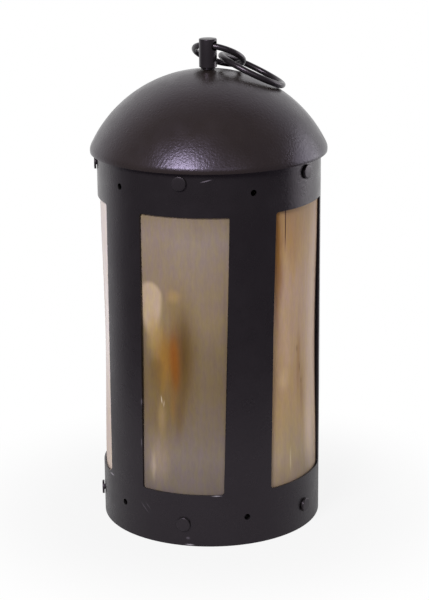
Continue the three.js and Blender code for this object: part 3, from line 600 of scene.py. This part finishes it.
# Right pane: clear honey, amber down its left edge, a dark split at the top, a mottled
# brown streak at the middle and a pink bloom to the right.
right_tones = [(30, "#917f69"), (45, "#a89479"), (64, "#b0956f"), (88, "#b2946c"),
               (110, "#ba9c7c"), (136, "#bea085"), (160, "#ba9970"), (180, "#a3825a")]
right_stains = [
    (False, (18.0, 105.0), (18.0, 110.0), "#dac0a8", 1.0, 0.9),
    (False, (-20.5, 166.0), (5.2, 34.0), "#885a1e", 0.9, 0.9, 76.0),
    (False, (-13.0, 108.0), (5.0, 34.0), "#c6a888", 0.6, 1.0, 24.0),
    (False, (-3.5, 96.0), (3.8, 22.0), "#a07a4c", 0.75, 0.9, 34.0),
    (False, (0.5, 80.0), (2.4, 20.0), "#967046", 0.6, 1.0, 22.0),
    (True, (-4.5, 103.0), (0.9, 3.0), "#6f4d2a", 0.6, 0.9),
    (True, (-2.0, 92.0), (0.8, 4.0), "#6f4d2a", 0.6, 0.9),
    (True, (-0.5, 84.0), (0.9, 2.6), "#6f4d2a", 0.5, 0.9),
    (False, (-9.5, 148.0), (3.5, 16.0), "#c29a6e", 0.5, 1.0),
    (False, (-9.0, 164.0), (13.0, 24.0), "#a67c48", 0.45, 1.0),
    (False, (8.5, 56.0), (8.0, 36.0), "#dec6ae", 0.8, 1.0),
    (True, (-16.0, 88.0), (6.0, 9.0), "#cdb08c", 0.6, 1.0),
    (False, (-12.0, 52.0), (9.0, 26.0), "#a5916e", 0.7, 1.0),
    (True, (-15.6, 178.0), (0.55, 8.0), "#43231c", 0.95, 0.5, 23.0),
    # A thin whitish upright streak low at the left: a painted highlight.
    (True, (-11.0, 42.0), (0.9, 9.0), "#cdbfa6", 0.6, 0.9),
]
# The other panes are cut from the same kind of horn, a little paler to the left.
left_tones = [(30, "#cdbcb0"), (80, "#d4c4b8"), (130, "#dacdc6"), (180, "#d2c7c2")]
left_stains = [(False, (10.0, 120.0), (12.0, 80.0), "#e8dedb", 0.8, 1.0),
               (False, (-4.0, 90.0), (6.0, 40.0), "#8f7758", 0.5, 1.0),
               (False, (4.0, 130.0), (4.0, 30.0), "#a58457", 0.5, 1.0)]
back_tones = [(30, "#8a7a69"), (90, "#a18a6c"), (140, "#9d8870"), (180, "#93826f")]
back_stains = [(False, (5.0, 110.0), (7.0, 44.0), "#85602f", 0.7, 1.0),
               (False, (-12.0, 70.0), (7.0, 40.0), "#b3a184", 0.6, 1.0),
               (False, (10.0, 60.0), (3.0, 30.0), "#6d4f2d", 0.5, 1.0)]

pane = spun("horn_blank", pane_section(), turn=2 * pane_half, start=-pane_half, steps=48)
cut(pane, [drill(0, rivet_low, rivet_hole), drill(0, rivet_high, rivet_hole)])
smooth(pane)
for number, azimuth, tones, stains, seed in ((1, 0, front_tones, front_stains, 3.1),
                                             (2, 72, right_tones, right_stains, 9.7),
                                             (3, 144, back_tones, back_stains, 21.3),
                                             (5, -72, left_tones, left_stains, 14.2)):
    horn = horn_plate(f"scraped_horn_{number}", azimuth, tones, stains, seed)
    dress(twin(pane, f"horn_sheet_{number}", azimuth), horn, "horn", "lantern_body",
          f"horn_pane_{number}")
bpy.data.objects.remove(pane, do_unlink=True)

# Base pan and collar: a shallow dish in the foot of the drum and an angle ring brazed
# up inside the dome, both pressed from 1 mm steel and painted with the body. The
# rivets below and above each window go through their walls.

collar_outside = 57.2
collar_sheet = 1.0
collar_inside = collar_outside - collar_sheet
collar_low = rivet_high - 4.4
collar_flange = 6.0
pan_floor = 1.2
pan_corner = 2.5
pan_top = rivet_low + 3.0
rim_radius = 63.5
rim_roll = 5.8
rim_turn = 100.0
dome_rise = 42.0
dome_sheet = 1.2
dome_top = 247.1
roll_centre = rim_radius - rim_roll
dome_radius = (roll_centre ** 2 + dome_rise ** 2 - rim_roll ** 2) / (2 * (dome_rise - rim_roll))
crown_centre = dome_top - dome_radius


def under_crown(radius, depth):
    """Height of the surface that lies a depth below the crown's outside."""
    return crown_centre + math.sqrt((dome_radius - depth) ** 2 - radius ** 2)


pan_bend = (collar_outside - pan_corner, pan_floor + pan_corner)
pan = spun("base_dish", [(rivet_hole, pan_floor)]
           + rounded(*pan_bend, pan_corner, -90, 0, 8)
           + [(collar_outside, pan_top), (collar_inside, pan_top)]
           + rounded(*pan_bend, pan_corner - collar_sheet, 0, -90, 8)
           + [(rivet_hole, pan_floor + collar_sheet)], steps=144)
cut(pan, [drill(i * window_pitch, rivet_low, rivet_hole) for i in range(5)])
smooth(pan)
dress(pan, body_paint, "black_steel", "lantern_body", "base_pan")

seat = dome_sheet + fit_gap + 0.05
flange_steps = 6
flange = [collar_outside - collar_flange * i / flange_steps for i in range(flange_steps + 1)]
collar = spun("collar_ring", [(collar_inside, collar_low), (collar_outside, collar_low)]
              + [(r, under_crown(r, seat)) for r in flange]
              + [(r, under_crown(r, seat + collar_sheet)) for r in reversed(flange[1:])]
              + [(collar_inside, under_crown(collar_inside, seat + collar_sheet))], steps=144)
cut(collar, [drill(i * window_pitch, rivet_high, rivet_hole) for i in range(5)])
smooth(collar)
dress(collar, body_paint, "black_steel", "lantern_body", "dome_collar")

# Rivets: soft iron, the head a flat disc with its edge set down, painted over with the
# body, the tail spread inside. Above and below every window the heads stand proud; down
# the lap seam they are filed flush, as no head shows at the outline.

head_radius, head_height = 3.75, 1.2
head_edge = 0.35
shank_radius = 1.5
tail_radius, tail_height, tail_taper = 2.6, 1.0, 0.3
sunk_depth = 0.8


def faced_front(name, section, steps=48):
    """A section of (radius, distance from the axis) turned about a line that points to
    the front, as a rivet does."""
    piece = spun(name, section, steps=steps)
    piece.rotation_euler = (math.pi / 2, 0, 0)
    settle(piece)
    smooth(piece, 50)
    return piece


def rivet(name, outside, inside):
    """Head on one face, tail on the other, both at a distance from the axis."""
    top = outside + head_height
    return faced_front(name, [(0, top), (head_radius - 1.0, top)]
                       + rounded(head_radius - head_edge, top - head_edge - 0.05, head_edge, 80, 0, 5)
                       + [(head_radius, outside), (shank_radius, outside), (shank_radius, inside),
                          (tail_radius, inside), (tail_radius - tail_taper, inside - tail_height),
                          (0, inside - tail_height)])


rivet_paint = stove_paint("stove_paint_on_rivets", "#181617", "#1e1c1d", 0.32, 0.05)
pattern = rivet("window_rivet", body_radius + fit_gap, collar_inside - fit_gap)
for i, azimuth in enumerate((0, 72, 144, -144, -72)):
    for end, height in (("bottom", rivet_low), ("top", rivet_high)):
        dress(twin(pattern, f"{end}_rivet_iron_{i + 1}", azimuth, height), rivet_paint, "black_steel",
              "lantern_body", f"{end}_rivet_{i + 1}")
bpy.data.objects.remove(pattern, do_unlink=True)
lap_inside = lap_outside - body_sheet - fit_gap
pattern = faced_front("lap_rivet", [(0, body_radius), (rivet_hole - 0.15, body_radius),
                                    (rivet_hole - 0.05, body_radius - 0.1),
                                    (shank_radius, body_radius - sunk_depth),
                                    (shank_radius, lap_inside), (tail_radius, lap_inside),
                                    (tail_radius - tail_taper, lap_inside - tail_height),
                                    (0, lap_inside - tail_height)])
for i, height in enumerate(seam_rivets):
    dress(twin(pattern, f"seam_rivet_iron_{i + 1}", seam_azimuth, height), rivet_paint, "black_steel",
          "lantern_body", f"seam_rivet_{i + 1}")
bpy.data.objects.remove(pattern, do_unlink=True)

# Candle holder: a flared drip tray and a rolled socket of bare thin steel, held to the
# pan by one rivet. Heat and handling have dulled the steel grey with brown clouds.

tray_radius, tray_rim, tray_flare, tray_sheet = 32.0, 5.0, 2.5, 0.8
socket_bore, socket_wall, socket_height, socket_lip = 11.2, 0.8, 26.0, 2.2
tray_floor = pan_floor + collar_sheet + fit_gap
socket_floor = tray_floor + tray_sheet + fit_gap


def plain_steel(name, base, tarnish, roughness):
    """Mild steel left bare, dulled by handling and heat: grey with brown clouds about
    14 mm across, and a fine grit of pits."""
    cloud_size, grit_size, grit_depth = 14.0, 0.9, 0.02
    finish, tree = new_material(name)
    where = add_node(tree, "ShaderNodeTexCoord").outputs["Object"]
    place = add_node(tree, "ShaderNodeMapping", Vector=where, Scale=(1000, 1000, 1000))
    stain = add_node(tree, "ShaderNodeTexNoise", Vector=place, Scale=1 / cloud_size, Detail=5.0)
    tone = add_node(tree, "ShaderNodeMix", {"data_type": "RGBA"}, i0=stain,
                    i6=srgb(base), i7=srgb(tarnish))
    rough = add_node(tree, "ShaderNodeMapRange", i0=stain, i1=0.3, i2=0.7,
                     i3=roughness - 0.08, i4=roughness + 0.12)
    grit = add_node(tree, "ShaderNodeTexNoise", Vector=place, Scale=1 / grit_size, Detail=2.0)
    pitted = add_node(tree, "ShaderNodeBump", Strength=1.0, Distance=grit_depth * MM, Height=grit)
    metal = add_node(tree, "ShaderNodeBsdfPrincipled", Base_Color=tone.outputs[2],
                     Roughness=rough, Normal=pitted, Metallic=1.0)
    add_node(tree, "ShaderNodeOutputMaterial", Surface=metal)
    return finish


bare_steel = plain_steel("dulled_mild_steel", "#a29c95", "#6b5a4c", 0.4)
foot = tray_radius - tray_flare
tray = spun("tray_dish", [(rivet_hole, tray_floor), (foot, tray_floor), (foot + 0.5, tray_floor + 0.2),
                          (tray_radius, tray_floor + tray_rim),
                          (tray_radius - tray_sheet, tray_floor + tray_rim),
                          (foot - 0.3, tray_floor + 1.0), (foot - 0.9, tray_floor + tray_sheet),
                          (rivet_hole, tray_floor + tray_sheet)], steps=120)
smooth(tray)
dress(tray, bare_steel, "raw_steel", "lantern_body", "drip_tray")
socket_outside = socket_bore + socket_wall
lip_height = socket_floor + socket_height - socket_lip
socket = spun("socket_cup", [(rivet_hole, socket_floor), (socket_outside, socket_floor)]
              + rounded(socket_outside + socket_lip, lip_height, socket_lip, 180, 90, 8)
              + rounded(socket_outside + socket_lip, lip_height, socket_lip + socket_wall, 90, 180, 8)
              + [(socket_bore, socket_floor + socket_wall), (rivet_hole, socket_floor + socket_wall)],
              steps=96)
smooth(socket)
dress(socket, bare_steel, "raw_steel", "lantern_body", "candle_socket")
head_seat = socket_floor + socket_wall + fit_gap
tail_seat = pan_floor - fit_gap
socket_pin = spun("socket_rivet_iron", [(0, head_seat + head_height), (2.0, head_seat + head_height),
                                        (3.0, head_seat + 0.9), (head_radius, head_seat),
                                        (shank_radius, head_seat), (shank_radius, tail_seat),
                                        (tail_radius, tail_seat),
                                        (tail_radius - tail_taper, fit_gap / 2), (0, fit_gap / 2)],
                  steps=48)
smooth(socket_pin)
dress(socket_pin, bare_steel, "raw_steel", "lantern_body", "socket_rivet")

# Dome: a disc of 1.2 mm steel spun to a shallow crown, its edge turned down in a tight
# roll over the top of the drum. Sprayed from above, its paint is browner and shows
# more orange peel than the body's.

crown_turn = math.degrees(math.asin(roll_centre / (dome_radius - rim_roll)))
roll_height = dome_top - dome_rise
post_hole = 2.8
hole_turn = math.degrees(math.asin(post_hole / dome_radius))
# The dome's sheen tint is more lilac than the body's. This painted tint stands in for the colour of the
# lamp's light.
dome_paint = stove_paint("stove_paint_on_dome", "#1f1a17", "#28221e", 0.29, 0.12, 1.2,
                         sheen_tint="#ded0f8")
dome = spun("dome_crown", rounded(0, crown_centre, dome_radius, 90 - hole_turn, 90 - crown_turn, 60)
            + rounded(roll_centre, roll_height, rim_roll, 90 - crown_turn, 90 - rim_turn, 14)[1:]
            + rounded(roll_centre, roll_height, rim_roll - dome_sheet,
                      90 - rim_turn, 90 - crown_turn, 12)
            + rounded(0, crown_centre, dome_radius - dome_sheet,
                      90 - crown_turn, 90 - hole_turn, 40)[1:])
smooth(dome)
dress(dome, dome_paint, "black_steel", "lantern_body", "dome")

# Hanger post: turned from 9.5 mm bar, with a short neck above the dome, its tenon
# spread over a plain washer inside, and a hole drilled across it for the ring.

post_radius = 4.73
post_top = 263.5
top_round, shoulder_round = 0.45, 0.35
neck_radius, neck_height = 3.7, 1.0
tenon_radius = 2.5
spread_radius, spread_height, spread_taper = 4.0, 1.6, 0.5
washer_radius, washer_thickness = 9.0, 1.2
eye_radius = 2.6
ring_joint = next(joint for joint in frame["joints"] if joint["name"] == "post_ring_swing")
eye_centre = Vector(ring_joint["pos_m"])
eye_axis = Vector(ring_joint["axis"]).normalized()
shoulder = dome_top + fit_gap
washer_top = under_crown(washer_radius, dome_sheet) - fit_gap
tail_top = washer_top - washer_thickness - fit_gap
post = spun("hanger_stud", [(0, post_top), (post_radius - 1.2, post_top)]
            + rounded(post_radius - top_round, post_top - top_round - 0.05, top_round, 80, 0, 5)
            + [(post_radius, shoulder + neck_height + shoulder_round)]
            + rounded(post_radius - shoulder_round, shoulder + neck_height + shoulder_round,
                      shoulder_round, -20, -90, 3)
            + [(neck_radius, shoulder + neck_height), (neck_radius, shoulder), (tenon_radius, shoulder),
               (tenon_radius, tail_top), (spread_radius, tail_top),
               (spread_radius - spread_taper, tail_top - spread_height), (0, tail_top - spread_height)],
            steps=96)
bpy.ops.mesh.primitive_cylinder_add(vertices=48, radius=eye_radius * MM, depth=4 * post_radius * MM,
                                    location=eye_centre,
                                    rotation=eye_axis.to_track_quat("Z", "Y").to_euler())
cut(post, [settle(bpy.context.object)])
break_edges(post, 0.22, angle=50)
smooth(post)
post_paint = stove_paint("stove_paint_on_turned_bar", "#171516", "#1e1c1d", 0.30, 0.03)
dress(post, post_paint, "black_steel", "lantern_body", "hanger_post")
washer = spun("washer_plate", [(post_hole, washer_top), (washer_radius, washer_top),
                               (washer_radius, washer_top - washer_thickness),
                               (post_hole, washer_top - washer_thickness)], steps=64)
break_edges(washer, 0.15)
smooth(washer)
dress(washer, bare_steel, "raw_steel", "lantern_body", "post_washer")

# Rings: 3.3 mm round bar bent to a circle and butt welded. The first turns in the
# post's hole, the second is linked through it and lies on the dome.

wire_radius = 1.65
post_ring_radius = 13.3
hanging_ring_radius = 18.1


def bent_ring(name, node, radius):
    """A ring in the place and plane of its solid."""
    mesh = frame["nodes"][node].data
    spots = np.empty(len(mesh.vertices) * 3)
    mesh.vertices.foreach_get("co", spots)
    spots = np.unique(spots.reshape(-1, 3).round(7), axis=0)
    middle = spots.mean(axis=0)
    first, second, _ = np.linalg.svd(spots - middle, full_matrices=False)[2]
    plane = Matrix((first, second, np.cross(first, second))).transposed().to_4x4()
    bpy.ops.mesh.primitive_torus_add(major_radius=radius * MM, minor_radius=wire_radius * MM,
                                     major_segments=144, minor_segments=32)
    ring = bpy.context.object
    ring.name = ring.data.name = name
    ring.matrix_basis = Matrix.Translation(middle) @ plane
    settle(ring)
    bpy.ops.object.shade_smooth()
    return ring


ring_paint = stove_paint("stove_paint_on_bent_bar", "#151314", "#1c1a1b", 0.28, 0.03)
dress(bent_ring("post_ring_bar", "post_ring", post_ring_radius), ring_paint, "black_steel",
      "post_ring", "post_ring")
dress(bent_ring("hanging_ring_bar", "hanging_ring", hanging_ring_radius), ring_paint, "black_steel",
      "hanging_ring", "hanging_ring")

# Door: a curved frame of the same sheet that covers the drum's tall opening by 4 mm all
# round, with its own horn riveted to its back. It is painted with the body.

door_inside = body_radius + fit_gap
door_outside = door_inside + 1.0
door_pane_margin = 1.2
pane_rivet_inset = 3.4
blank_top, blank_half = 220.0, 38.0
door_pane_half = door_opening_half - math.degrees(door_pane_margin / body_radius)
door_pane_low, door_pane_high = door_low + door_pane_margin, door_high - door_pane_margin
door_rivets = (door_pane_low + pane_rivet_inset, door_pane_high - pane_rivet_inset)
door_pane_outside = door_inside - fit_gap

door = spun("door_sheet", [(door_inside, 0), (door_inside, blank_top),
                           (door_outside, blank_top), (door_outside, 0)],
            turn=2 * blank_half, start=-blank_half, steps=76)
cut(door, [straight_block(door_half, door_low - door_overlap, door_high + door_overlap)], "INTERSECT")
cut(door, [straight_block(window_half, window_low, window_high)])
break_edges(door, broken_edge)
cut(door, [drill(0, height, small_hole) for height in door_rivets]
    + [drill(hinge_turn - leaf_turn, height, small_hole) for height in leaf_rivets])
smooth(settle(door, door_azimuth))
dress(door, body_paint, "black_steel", "door", "door_frame")

door_horn = horn_plate("scraped_horn_door", door_azimuth, back_tones, left_stains, 30.5)
inner = door_pane_outside - pane_thickness
door_pane = spun("door_horn_sheet", [(door_pane_outside, door_pane_low),
                                     (door_pane_outside, door_pane_high),
                                     (inner, door_pane_high), (inner, door_pane_low)],
                 turn=2 * door_pane_half, start=-door_pane_half, steps=48)
cut(door_pane, [drill(0, height, small_hole) for height in door_rivets])
smooth(settle(door_pane, door_azimuth))
dress(door_pane, door_horn, "horn", "door", "door_pane")

# Hinges: two butt hinges of 0.8 mm steel, one leaf on the door and one on the drum,
# each held by two small rivets, with a loose pin of bare wire through the knuckles.

leaf_thickness = 0.8
hinge_end = 9.0
knuckle_half = hinge_end / 3 - fit_gap / 2
knuckle_inset = 0.04
knuckle_bore = 1.0
leaf_edge = 0.1
knuckle_centre = body_radius + fit_gap + knuckle_radius
small_shank, small_head, small_height = 0.8, 1.6, 0.7
pin_radius, pin_head = 0.7, 1.6


def small_rivet(name, outside, inside, tail=True):
    """A small round head; its tail is spread inside, or filed flush."""
    top = outside + small_height
    end = [(small_head, inside), (small_head - 0.2, inside - small_height), (0, inside - small_height)]
    return faced_front(name, [(0, top), (0.6, top - 0.03), (1.1, top - 0.15), (1.45, outside + 0.32),
                              (small_head, outside + 0.1), (small_head, outside), (small_shank, outside),
                              (small_shank, inside)] + (end if tail else [(0, inside)]), 32)


def at_hinge(piece):
    """Moves a piece made on the upright axis out to the hinge's pin."""
    az = math.radians(hinge_turn)
    piece.location = (knuckle_centre * math.sin(az) * MM, -knuckle_centre * math.cos(az) * MM, 0)
    return settle(piece)


def hinge_rod(radius, low, high):
    """A rod on the hinge's pin, its ends broken."""
    edge = leaf_edge
    return at_hinge(spun("rod", [(0, low), (radius - edge, low), (radius, low + edge),
                                 (radius, high - edge), (radius - edge, high), (0, high)], steps=48))


def hinge_leaf(name, inside, side):
    """A leaf with its knuckles: the middle one on the door's side, the outer two on the
    drum's. A knuckle ends a hair inside its leaf, so that no two faces of the parts
    being joined lie in one plane."""
    outside = inside + leaf_thickness
    reach = math.degrees((knuckle_radius + leaf_length) / body_radius)
    clear = math.degrees((knuckle_radius + fit_gap) / body_radius)
    leaf = spun(name, [(inside, -hinge_end), (inside, hinge_end),
                       (outside, hinge_end), (outside, -hinge_end)],
                turn=reach, start=hinge_turn - (reach if side < 0 else 0), steps=10)
    gaps = [(-hinge_end - 1, -knuckle_half), (knuckle_half, hinge_end + 1)]
    knuckles = [(-knuckle_half, knuckle_half)]
    if side > 0:
        gaps = [(-hinge_end / 3 - fit_gap / 2, hinge_end / 3 + fit_gap / 2)]
        knuckles = [(-hinge_end, gaps[0][0]), (gaps[0][1], hinge_end)]
    cut(leaf, [straight_block(clear, low, high, hinge_turn, 0.0) for low, high in gaps])
    break_edges(leaf, leaf_edge)
    for low, high in knuckles:
        cut(leaf, [hinge_rod(knuckle_radius, low + knuckle_inset, high - knuckle_inset)], "UNION")
    at = hinge_turn + side * leaf_turn
    cut(leaf, [drill(at, -leaf_rivet_step, small_hole), drill(at, leaf_rivet_step, small_hole),
               hinge_rod(knuckle_bore, -hinge_end - 2, hinge_end + 2)])
    smooth(leaf)
    return leaf


door_leaf = hinge_leaf("door_leaf", door_outside + fit_gap, -1)
body_leaf = hinge_leaf("body_leaf", body_radius + fit_gap, 1)
pin_foot, pin_seat = -hinge_end - 1.0, hinge_end + fit_gap
pin = at_hinge(spun("pin", [(0, pin_foot), (pin_radius - 0.2, pin_foot), (pin_radius, pin_foot + 0.2),
                            (pin_radius, pin_seat), (pin_head, pin_seat), (pin_head, pin_seat + 0.4),
                            (pin_head - 0.3, pin_seat + 0.8), (pin_head - 1.0, pin_seat + 0.9),
                            (0, pin_seat + 0.9)], steps=40))
smooth(pin)
for i, height in enumerate(hinge_heights):
    dress(twin(door_leaf, f"hinge_plate_door_{i + 1}", door_azimuth, height), body_paint, "black_steel",
          "door", f"hinge_door_leaf_{i + 1}")
    dress(twin(body_leaf, f"hinge_plate_body_{i + 1}", door_azimuth, height), body_paint, "black_steel",
          "lantern_body", f"hinge_body_leaf_{i + 1}")
    dress(twin(pin, f"hinge_pin_wire_{i + 1}", door_azimuth, height), bare_steel, "raw_steel",
          "lantern_body", f"hinge_pin_{i + 1}")
stack = leaf_thickness + 2 * fit_gap
on_door = small_rivet("door_leaf_rivet", door_outside + stack, door_inside, tail=False)
on_body = small_rivet("body_leaf_rivet", body_radius + stack, body_radius - body_sheet - fit_gap)
on_pane = small_rivet("pane_rivet", door_outside + fit_gap, inner - fit_gap)
for i, height in enumerate(leaf_rivets):
    dress(twin(on_door, f"door_leaf_rivet_iron_{i + 1}", door_azimuth + hinge_turn - leaf_turn, height),
          rivet_paint, "black_steel", "door", f"door_leaf_rivet_{i + 1}")
    dress(twin(on_body, f"body_leaf_rivet_iron_{i + 1}", door_azimuth + hinge_turn + leaf_turn, height),
          rivet_paint, "black_steel", "lantern_body", f"body_leaf_rivet_{i + 1}")
for i, height in enumerate(door_rivets):
    dress(twin(on_pane, f"door_pane_rivet_iron_{i + 1}", door_azimuth, height),
          rivet_paint, "black_steel", "door", f"door_pane_rivet_{i + 1}")
for pattern in (door_leaf, body_leaf, pin, on_door, on_body, on_pane):
    bpy.data.objects.remove(pattern, do_unlink=True)

# Turn button: a short strip with round ends on a shouldered rivet. Turned level, it
# reaches over the door's edge and holds it shut.

button_length, button_width, button_thickness = 20.0, 7.0, 1.0
button_play = 0.1
button_edge = 0.15
button_inside = door_outside + button_play
button_outside = button_inside + button_thickness
stud_shank, stud_shoulder, stud_head = 1.3, 2.6, 2.8

bpy.ops.mesh.primitive_cylinder_add(vertices=50, radius=button_width / 2 * MM,
                                    depth=button_thickness * MM,
                                    location=(0, -(button_inside + button_outside) / 2 * MM, 0),
                                    rotation=(math.pi / 2, 0, 0))
button = bpy.context.object
button.name = button.data.name = "button_strip"
for vertex in button.data.vertices:
    vertex.co.y += math.copysign((button_length - button_width) / 2 * MM, vertex.co.y)
settle(button)
break_edges(button, button_edge)
cut(button, [drill(0, 0, stud_hole)])
smooth(settle(button, door_azimuth + button_turn, window_middle))
dress(button, body_paint, "black_steel", "turn_button", "turn_button")
head, shoulder_in = button_outside + fit_gap, button_inside - fit_gap
tail = body_radius - body_sheet - fit_gap
drum = body_radius + fit_gap
stud = faced_front("button_rivet_iron", [(0, head + 0.8), (1.0, head + 0.78), (2.0, head + 0.6),
                                         (2.6, head + 0.3), (stud_head, head), (stud_shank, head),
                                         (stud_shank, shoulder_in), (stud_shoulder, shoulder_in),
                                         (stud_shoulder, drum), (stud_shank, drum), (stud_shank, tail),
                                         (tail_radius, tail), (tail_radius - 0.2, tail - small_height),
                                         (0, tail - small_height)])
settle(stud, door_azimuth + button_turn, window_middle)
dress(stud, rivet_paint, "black_steel", "lantern_body", "turn_button_rivet")
